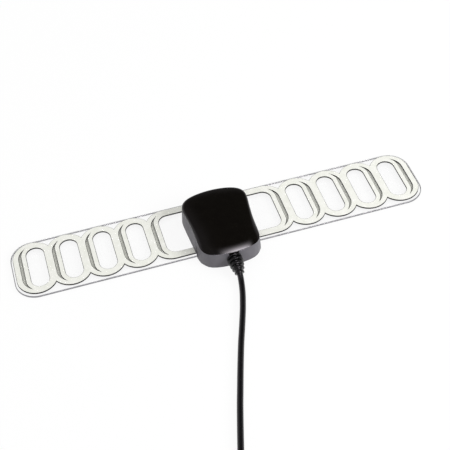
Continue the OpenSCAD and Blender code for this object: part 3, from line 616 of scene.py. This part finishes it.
# %% [markdown]
# ## The strain relief
# A soft moulding round the cable, with four ribs that grow smaller and deep gaps between them, so that it
# can bend. Its profile is carried along the arc in which the cable leaves the wall, and its corners are
# rounded.

# %% Strain relief
RELIEF_R, RELIEF_END_R, CORE_DROP = 5.5, 3.4, 0.735


def relief_profile():
    """Corners (distance along the bend, radius) of a flange, then of a gap and a rib for each pitch. The
    ribs' radius falls with the square of the share of the length, so they stay large near the wall."""
    corners = [(0, 0.3), (0, RELIEF_R), (FLANGE_T, RELIEF_R)]
    for i in range(RIB_COUNT):
        share = (i + 1) / RIB_COUNT
        core = RELIEF_END_R - CORE_DROP * share
        rib = RELIEF_END_R + (RELIEF_R - RELIEF_END_R) * (1 - share * share)
        gap_start = FLANGE_T + i * RIB_PITCH
        rib_start = gap_start + RIB_PITCH - RIB_T
        corners += [(gap_start, core), (rib_start, core), (rib_start, rib), (gap_start + RIB_PITCH, rib)]
    return rounded_profile(corners + [(RELIEF_L, CABLE_D / 2 + 0.02)], 0.32, 5)


profile = relief_profile()
bend_turn = profile[:, 0] / BEND_R
relief_line = np.stack([
    np.full_like(bend_turn, HOUSING_X),
    WALL_Y - BEND_R * np.sin(bend_turn),
    OUTLET_Z - BEND_R * (1 - np.cos(bend_turn)),
], axis=-1)
relief_up = np.stack([np.zeros_like(bend_turn), -np.sin(bend_turn), np.cos(bend_turn)], axis=-1)
ring_turn = np.linspace(0, 2 * np.pi, 64, endpoint=False)[None, :, None]
relief_points = relief_line[:, None] + profile[:, 1][:, None, None] * (
    np.cos(ring_turn) * np.array([1.0, 0, 0]) + np.sin(ring_turn) * relief_up[:, None]
)
relief = grid_piece("strain_relief_ribs", relief_points * MM)
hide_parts("strain_relief")

# %% The relief's neck, inside the wall
NECK_START, STOP_START, NECK_END, STOP_R, NECK_BORE_R = -0.5, 2.3, 3.8, 4.4, 2.15
neck_corners = [(NECK_START, NECK_BORE_R), (NECK_START, NECK_R), (STOP_START + 0.15, NECK_R)]
neck_corners += [(STOP_START, STOP_R), (NECK_END, STOP_R), (NECK_END, NECK_BORE_R)]
neck_profile = rounded_profile(neck_corners, 0.15)
neck_turn = np.linspace(0, 2 * np.pi, 48, endpoint=False)
neck_points = np.stack(np.broadcast_arrays(
    HOUSING_X + neck_profile[:, 1:] * np.cos(neck_turn),
    WALL_Y + neck_profile[:, :1],
    OUTLET_Z + neck_profile[:, 1:] * np.sin(neck_turn),
), axis=-1)
neck = grid_piece("strain_relief_neck", neck_points * MM, wrap_rows=True)

# %% [markdown]
# ## Building materials
# A finish is a shader with a colour, a roughness and a fine pattern in its surface. One function adds a
# node of any kind, and another turns the sRGB colours of a paint chart into the linear numbers that light
# is worked out in. In a Mix node, sockets 2 and 3 are its two numbers, and sockets 6 and 7 its two
# colours.


# %% Nodes and colours
def linear(hex_colour):
    """sRGB hex to linear: value / 12.92 below 0.04045, else ((value + 0.055) / 1.055) to the power 2.4."""
    parts = [int(hex_colour[i:i + 2], 16) / 255 for i in (1, 3, 5)]
    return tuple(c / 12.92 if c <= 0.04045 else ((c + 0.055) / 1.055) ** 2.4 for c in parts) + (1.0,)


def add_node(tree, kind, inputs=None, **settings):
    """Adds one node, sets its own properties, and fills its inputs with numbers or links them to outputs."""
    made = tree.nodes.new(kind)
    for key, value in settings.items():
        setattr(made, key, value)
    for key, value in (inputs or {}).items():
        if isinstance(value, bpy.types.NodeSocket):
            tree.links.new(value, made.inputs[key])
        else:
            made.inputs[key].default_value = value
    return made


def empty_tree(owner):
    """The node tree of a new material or world, with nothing in it."""
    owner.use_nodes = True
    owner.node_tree.nodes.clear()
    return owner.node_tree


def worked_out(tree, operation, *values):
    """The result of a Math node on numbers or outputs."""
    return add_node(tree, "ShaderNodeMath", dict(enumerate(values)), operation=operation).outputs[0]


def noise(tree, place, size, detail):
    """A noise pattern of a size in mm at a place, from 0 to 1."""
    inputs = {"Vector": place, "Scale": 1 / (size * MM), "Detail": detail}
    return add_node(tree, "ShaderNodeTexNoise", inputs).outputs["Fac"]


def finish(name, first, second, patch, rough, grain, depth, metallic=0.0, stretch=(1, 1, 1), **shader):
    """A material with two close colours in patches, a roughness that varies with them, and a grain.
    patch and grain are sizes in mm, depth is the grain's height in mm, and stretch draws the pattern out."""
    material = bpy.data.materials.new(name)
    tree = empty_tree(material)
    place = add_node(tree, "ShaderNodeTexCoord").outputs["Object"]
    place = add_node(tree, "ShaderNodeMapping", {"Vector": place, "Scale": stretch}).outputs["Vector"]
    patches = noise(tree, place, patch, 3.0)
    limits = {"Value": patches, "From Min": 0.3, "From Max": 0.7}
    share = add_node(tree, "ShaderNodeMapRange", limits).outputs["Result"]
    colours = {"Factor": share, 6: linear(first), 7: linear(second)}
    tone = add_node(tree, "ShaderNodeMix", colours, data_type="RGBA").outputs[2]
    dull = add_node(tree, "ShaderNodeMapRange", {"Value": share, "To Min": rough[0], "To Max": rough[1]})
    bump = add_node(tree, "ShaderNodeBump", {
        "Height": noise(tree, place, grain, 2.0), "Distance": depth * MM, "Strength": 1.0,
    })
    surface = add_node(tree, "ShaderNodeBsdfPrincipled", {
        "Base Color": tone, "Roughness": dull.outputs["Result"], "Normal": bump.outputs["Normal"],
        "Metallic": metallic, **shader,
    })
    add_node(tree, "ShaderNodeOutputMaterial", {"Surface": surface.outputs["BSDF"]})
    return material


def base_colour(material):
    """The socket that colours a finish."""
    return next(n for n in material.node_tree.nodes if n.type == "BSDF_PRINCIPLED").inputs["Base Color"]


def upwards_share(tree, low, high, most=1.0, both_ways=False):
    """How squarely a face looks up: 0 below the low and most above the high value of its normal's Z."""
    normal = add_node(tree, "ShaderNodeNewGeometry").outputs["True Normal"]
    z = add_node(tree, "ShaderNodeSeparateXYZ", {"Vector": normal}).outputs["Z"]
    if both_ways:
        z = worked_out(tree, "ABSOLUTE", z)
    limits = {"Value": z, "From Min": low, "From Max": high, "To Max": most}
    return add_node(tree, "ShaderNodeMapRange", limits).outputs["Result"]


def dress(pieces, material):
    """Gives pieces, or CAD nodes by name, one material."""
    for piece in pieces:
        piece = nodes[piece] if isinstance(piece, str) else piece
        piece.data.materials.clear()
        piece.data.materials.append(material)


# %% [markdown]
# ## Plastics
# The cover is ABS from a polished mould: nearly black, very smooth, with a trace of orange peel. The base
# is the same plastic in dark grey from a spark-eroded mould, so its grain breaks reflections up. Cable and
# strain relief are soft PVC, which is glossy where it is extruded and satin where it is moulded.

# %% Plastics
cover_abs = finish(
    "polished_black_abs", "#0B0907", "#0D0B08", patch=6, rough=(0.10, 0.16), grain=1.6, depth=0.0006,
    **{"Specular IOR Level": 0.3, "IOR": 1.5},
)
base_abs = finish(
    "grained_grey_abs", "#5A585E", "#615F64", patch=3, rough=(0.42, 0.5), grain=0.25, depth=0.006,
)
extruded_pvc = finish(
    "extruded_black_pvc", "#0C0C0D", "#111112", patch=4, rough=(0.16, 0.22), grain=0.6, depth=0.003,
)
moulded_pvc = finish(
    "moulded_black_pvc", "#0A0A0B", "#0E0E0F", patch=2, rough=(0.24, 0.3), grain=0.2, depth=0.003,
)
grip_abs = finish(
    "satin_black_abs", "#121213", "#18181A", patch=2, rough=(0.4, 0.48), grain=0.18, depth=0.006,
)
foam = finish(
    "closed_cell_foam", "#333336", "#3E3E42", patch=0.5, rough=(0.85, 0.95), grain=0.35, depth=0.06,
)
tie_nylon = finish(
    "ribbed_black_nylon", "#262628", "#303032", patch=2, rough=(0.5, 0.6), grain=0.3, depth=0.01,
)
# Painted shade: the grey of the slit films stands in for the shade inside the slits.
painted_slit_shade = finish(
    "painted_slit_shade_film", "#C8C9C0", "#D0D1C8", patch=1.5, rough=(0.5, 0.65), grain=0.4, depth=0.01,
)
white_pe = finish(
    "natural_polyethylene", "#DCDCD4", "#E6E6DF", patch=1.5, rough=(0.45, 0.55), grain=0.3, depth=0.004,
)
chip_epoxy = finish(
    "moulding_epoxy", "#1C1C1C", "#242424", patch=0.6, rough=(0.6, 0.7), grain=0.1, depth=0.006,
)
dress([cover, tongue, *posts], cover_abs)
dress([base, "cable_clamp"], base_abs)
dress([cable, "cable_jacket"], extruded_pvc)
dress([relief, neck], moulded_pvc)
dress([plug_grip], grip_abs)
dress([pad], foam)
dress(slit_shade_films, painted_slit_shade)
dress([tie_strap, tie_head], tie_nylon)
dress(["cable_dielectric", "plug_insulator"], white_pe)
dress(["amplifier_chip"], chip_epoxy)

# %% [markdown]
# ## Metals and electronic parts
# Zinc, tin and nickel platings differ mostly in how smooth they are and in a trace of colour. The wire is
# copper under a thin enamel, and the contacts are spring bronze. Ferrite cores are matt and dark.

# %% Metals and electronic parts
zinc = finish(
    "zinc_plated_steel", "#B9BABD", "#C6C8CC", patch=0.8, rough=(0.28, 0.4), grain=0.1, depth=0.004,
    metallic=1.0,
)
tin = finish(
    "tin_plated_steel", "#CFCFCD", "#DADAD8", patch=2, rough=(0.25, 0.36), grain=0.3, depth=0.003,
    metallic=1.0, stretch=(1, 8, 1),
)
nickel = finish(
    "nickel_plated_brass", "#D3D2CE", "#DCDAD6", patch=2, rough=(0.12, 0.2), grain=0.3, depth=0.002,
    metallic=1.0, stretch=(8, 1, 1),
)
pin_plating = finish(
    "gold_flashed_brass", "#E0C27A", "#E6CB88", patch=1, rough=(0.15, 0.22), grain=0.2, depth=0.002,
    metallic=1.0,
)
bronze = finish(
    "spring_bronze", "#C79C54", "#D0A860", patch=1, rough=(0.22, 0.3), grain=0.2, depth=0.002,
    metallic=1.0, stretch=(8, 1, 1),
)
copper = finish(
    "enamelled_copper", "#B4602F", "#C06A38", patch=0.8, rough=(0.18, 0.26), grain=0.2, depth=0.002,
    metallic=1.0, **{"Coat Weight": 0.6},
)
can_metal = finish(
    "drawn_aluminium", "#C9CBCE", "#D4D6D8", patch=1, rough=(0.2, 0.3), grain=0.2, depth=0.002,
    metallic=1.0,
)
braid_metal = finish(
    "tinned_copper_braid", "#B9B6B0", "#D2CFC9", patch=0.25, rough=(0.3, 0.45), grain=0.2, depth=0.05,
    metallic=1.0,
)
ferrite = finish(
    "sintered_ferrite", "#2A2A2C", "#333335", patch=0.6, rough=(0.7, 0.8), grain=0.15, depth=0.01,
)
resistor = finish(
    "resistor_glaze", "#1A1A1D", "#222226", patch=0.5, rough=(0.3, 0.4), grain=0.1, depth=0.003,
)
dress(["case_screws", "board_screws", "clamp_screws"], zinc)
dress(["shield_can"], tin)
dress([plug_shell], nickel)
dress([plug_pin], pin_plating)
dress(["left_contact", "right_contact"], bronze)
dress(["balun_winding", "cable_centre_wire"], copper)
dress(["filter_capacitors"], can_metal)
dress(["cable_braid"], braid_metal)
dress(["balun_core", "supply_choke"], ferrite)
dress(["chip_resistors"], resistor)

# %% [markdown]
# ## Circuit board
# FR4 laminate under green solder mask. The tracks below the mask are a shade lighter. A brick pattern
# draws them: its joints are straight runs of a real track's width.

# %% Circuit board
board_mask = finish(
    "green_solder_mask", "#0E4A26", "#11552C", patch=3, rough=(0.25, 0.35), grain=0.2, depth=0.002,
)
tree = board_mask.node_tree
object_place = next(n for n in tree.nodes if n.type == "MAPPING").outputs["Vector"]
tracks = add_node(tree, "ShaderNodeTexBrick", {
    "Vector": object_place, "Scale": 1 / (6 * MM), "Brick Width": 0.9, "Row Height": 0.45,
    "Color1": linear("#0F4D28"), "Color2": linear("#11532B"),
    "Mortar": linear("#1F7A42"), "Mortar Size": 0.06, "Mortar Smooth": 0.1,
})
tree.links.new(tracks.outputs["Color"], base_colour(board_mask))
dress(["circuit_board"], board_mask)

# %% [markdown]
# ## Elements
# Pale silver aluminium sheet with a satin lacquer, stamped out. The side walls are painted in shade,
# so the colour follows the surface's own direction: faces that look up are pale, and side walls are
# nearly black.

# %% Elements
satin_sheet = finish(
    "lacquered_aluminium_sheet", "#E6E7DE", "#EFEFE9", patch=5, rough=(0.42, 0.5), grain=0.5, depth=0.002,
)
tree = satin_sheet.node_tree
face_tone = base_colour(satin_sheet).links[0].from_socket
# Painted shade: side walls get a near-black colour, and faces that look up keep the sheet's own tone.
tones = {"Factor": upwards_share(tree, 0.93, 0.99), 6: linear("#12120F"), 7: face_tone}
painted_wall_shade = add_node(tree, "ShaderNodeMix", tones, data_type="RGBA").outputs[2]
tree.links.new(painted_wall_shade, base_colour(satin_sheet))
dress(elements, satin_sheet)

# %% [markdown]
# ## Clear plastic
# Two things show that a clear sheet is there: its cut edges, which bend light, and a trace of grey over its
# faces. So the level faces let all but a small share of the rays through, and only the edges are glass. That
# glass is tinted dark grey as painted shade: it makes the edges greyer than their bending of light alone
# does, and it gives the faces their trace of grey. The ground below stays bright, because rays that only
# carry light go straight through, and so does half of the light that would throw a shadow.

# %% Clear plastic
SHADE_PASSED, OPEN_SHARE = 0.5, 0.985
acrylic = bpy.data.materials.new("polished_acrylic")
tree = empty_tree(acrylic)
# Painted shade: the glass is tinted dark grey, which darkens the edges beyond their bending of light.
clear = add_node(tree, "ShaderNodeBsdfPrincipled", {
    "Base Color": linear("#4E4E52"), "Roughness": 0.3, "IOR": 1.49, "Transmission Weight": 1.0,
})
passing = add_node(tree, "ShaderNodeBsdfTransparent", {"Color": linear("#FFFFFF")})
rays = add_node(tree, "ShaderNodeLightPath").outputs
shade_share = worked_out(tree, "MULTIPLY", rays["Is Shadow Ray"], SHADE_PASSED)
carries = worked_out(tree, "MAXIMUM", shade_share, rays["Is Diffuse Ray"])
open_face = upwards_share(tree, 0.95, 0.995, OPEN_SHARE, both_ways=True)
through = add_node(tree, "ShaderNodeMixShader", {
    0: worked_out(tree, "MAXIMUM", carries, open_face), 1: clear.outputs["BSDF"], 2: passing.outputs["BSDF"],
})
add_node(tree, "ShaderNodeOutputMaterial", {"Surface": through.outputs["Shader"]})
dress([strip], acrylic)

# %% [markdown]
# ## Floor
# The antenna lies on white paper. To rays that look at it, the floor shows mostly its own white, so it
# stays white in the picture. The rest of it is lit, which keeps the shadow.

# %% Floor
FLOOR_HALF, OWN_WHITE_SHARE = 4, 0.9
floor = bpy.data.objects.new("floor", bpy.data.meshes.new("floor"))
floor_corners = [(FLOOR_HALF * x, FLOOR_HALF * y, 0) for x, y in ((-1, -1), (1, -1), (1, 1), (-1, 1))]
floor.data.from_pydata(floor_corners, [], [(0, 1, 2, 3)])
bpy.context.scene.collection.objects.link(floor)
paper = bpy.data.materials.new("white_paper")
tree = empty_tree(paper)
own_white = add_node(tree, "ShaderNodeEmission", {"Color": (1, 1, 1, 1), "Strength": 1.0})
lit_white = add_node(tree, "ShaderNodeBsdfDiffuse", {"Color": (0.93, 0.93, 0.93, 1)})
rays = add_node(tree, "ShaderNodeLightPath").outputs
seen = worked_out(tree, "MAXIMUM", rays["Is Camera Ray"], rays["Is Glossy Ray"])
seen = worked_out(tree, "MAXIMUM", seen, rays["Is Transmission Ray"])
own_share = worked_out(tree, "MULTIPLY", seen, OWN_WHITE_SHARE)
ground = add_node(tree, "ShaderNodeMixShader", {
    0: own_share, 1: lit_white.outputs["BSDF"], 2: own_white.outputs["Emission"],
})
add_node(tree, "ShaderNodeOutputMaterial", {"Surface": ground.outputs["Shader"]})
floor.data.materials.append(paper)

# %% [markdown]
# ## Sky
# The camera sees white, and an even light from all sides falls on the object. Gloss sees a studio of its
# own: pale low down, dark overhead, with a pale wall on the left and one soft lamp. The lamp is brightest
# in front and fades overhead. It stops above the low directions that the flat cover mirrors to a viewer
# behind it.

# %% Sky
DAYLIGHT, HORIZON, OVERHEAD = 0.59, 0.5, 0.03
LAMP_LEVEL, LAMP_FALLOFF, WALL_LEVEL = 27.0, 4.0, 0.22
LAMP_BACK, LAMP_FRONT = 0.45, -0.8
# Where each edge fades from nothing to full, along the direction's own X, X and Z
LAMP_LEFT_EDGE, LAMP_RIGHT_EDGE, LAMP_LOW_EDGE = (-0.12, 0.26), (0.6, 0.34), (0.43, 0.55)
CEILING_EDGE, LEFT_WALL_EDGE = (0.3, 0.6), (0.12, -0.3)
world = bpy.data.worlds.new("studio")
bpy.context.scene.world = world
tree = empty_tree(world)
direction = add_node(tree, "ShaderNodeTexCoord").outputs["Generated"]
to_right, backwards, height = add_node(tree, "ShaderNodeSeparateXYZ", {"Vector": direction}).outputs


def ramp(value, start, end, before=0.0, after=1.0):
    """A smooth step of a value, from before to after. The start may be the larger of its two ends."""
    if end < start:
        start, end, before, after = end, start, after, before
    limits = {"Value": value, "From Min": start, "From Max": end, "To Min": before, "To Max": after}
    return add_node(tree, "ShaderNodeMapRange", limits, interpolation_type="SMOOTHSTEP").outputs["Result"]


ceiling = ramp(height, *CEILING_EDGE, HORIZON, OVERHEAD)
left_wall = ramp(to_right, *LEFT_WALL_EDGE)
limits = {"Value": backwards, "From Min": LAMP_BACK, "From Max": LAMP_FRONT}
forwards = add_node(tree, "ShaderNodeMapRange", limits).outputs["Result"]
lamp = worked_out(tree, "POWER", forwards, LAMP_FALLOFF)
for part, edge in ((to_right, LAMP_LEFT_EDGE), (to_right, LAMP_RIGHT_EDGE), (height, LAMP_LOW_EDGE)):
    lamp = worked_out(tree, "MULTIPLY", lamp, ramp(part, *edge))
lamp_and_ceiling = worked_out(tree, "MULTIPLY_ADD", lamp, LAMP_LEVEL, ceiling)
in_gloss = worked_out(tree, "MULTIPLY_ADD", left_wall, WALL_LEVEL, lamp_and_ceiling)
rays = add_node(tree, "ShaderNodeLightPath").outputs
looks = worked_out(tree, "MAXIMUM", rays["Is Camera Ray"], rays["Is Transmission Ray"])
level = add_node(tree, "ShaderNodeMix", {"Factor": looks, 2: DAYLIGHT, 3: 1.0}, data_type="FLOAT").outputs[0]
levels = {"Factor": rays["Is Glossy Ray"], 2: level, 3: in_gloss}
strength = add_node(tree, "ShaderNodeMix", levels, data_type="FLOAT").outputs[0]
tints = {"Factor": rays["Is Glossy Ray"], 6: (1, 1, 1, 1), 7: (1, 0.93, 1, 1)}
tint = add_node(tree, "ShaderNodeMix", tints, data_type="RGBA").outputs[2]
sky = add_node(tree, "ShaderNodeBackground", {"Color": tint, "Strength": strength})
add_node(tree, "ShaderNodeOutputWorld", {"Surface": sky.outputs["Background"]})

# %% [markdown]
# ## Lamps
# Two rectangles of light face the object. One stands behind it, and a smaller one in front, to the right.
# Neither shows in gloss, where the sky has its own lamp.


# %% Lamps
def softbox(name, place, watts, size):
    """A rectangle of light at a place, turned to the middle of the object."""
    lamp = bpy.data.objects.new(name, bpy.data.lights.new(name, "AREA"))
    lamp.data.shape = "RECTANGLE"
    lamp.data.size, lamp.data.size_y = size
    lamp.data.energy = watts
    lamp.location = place
    lamp.rotation_euler = (-lamp.location).to_track_quat("-Z", "Y").to_euler()
    lamp.visible_glossy = False
    bpy.context.scene.collection.objects.link(lamp)


softbox("back_softbox", (0.1, 0.5, 1.5), watts=7, size=(1.6, 1.2))
softbox("front_softbox", (0.95, -0.8, 0.7), watts=13, size=(0.6, 0.6))
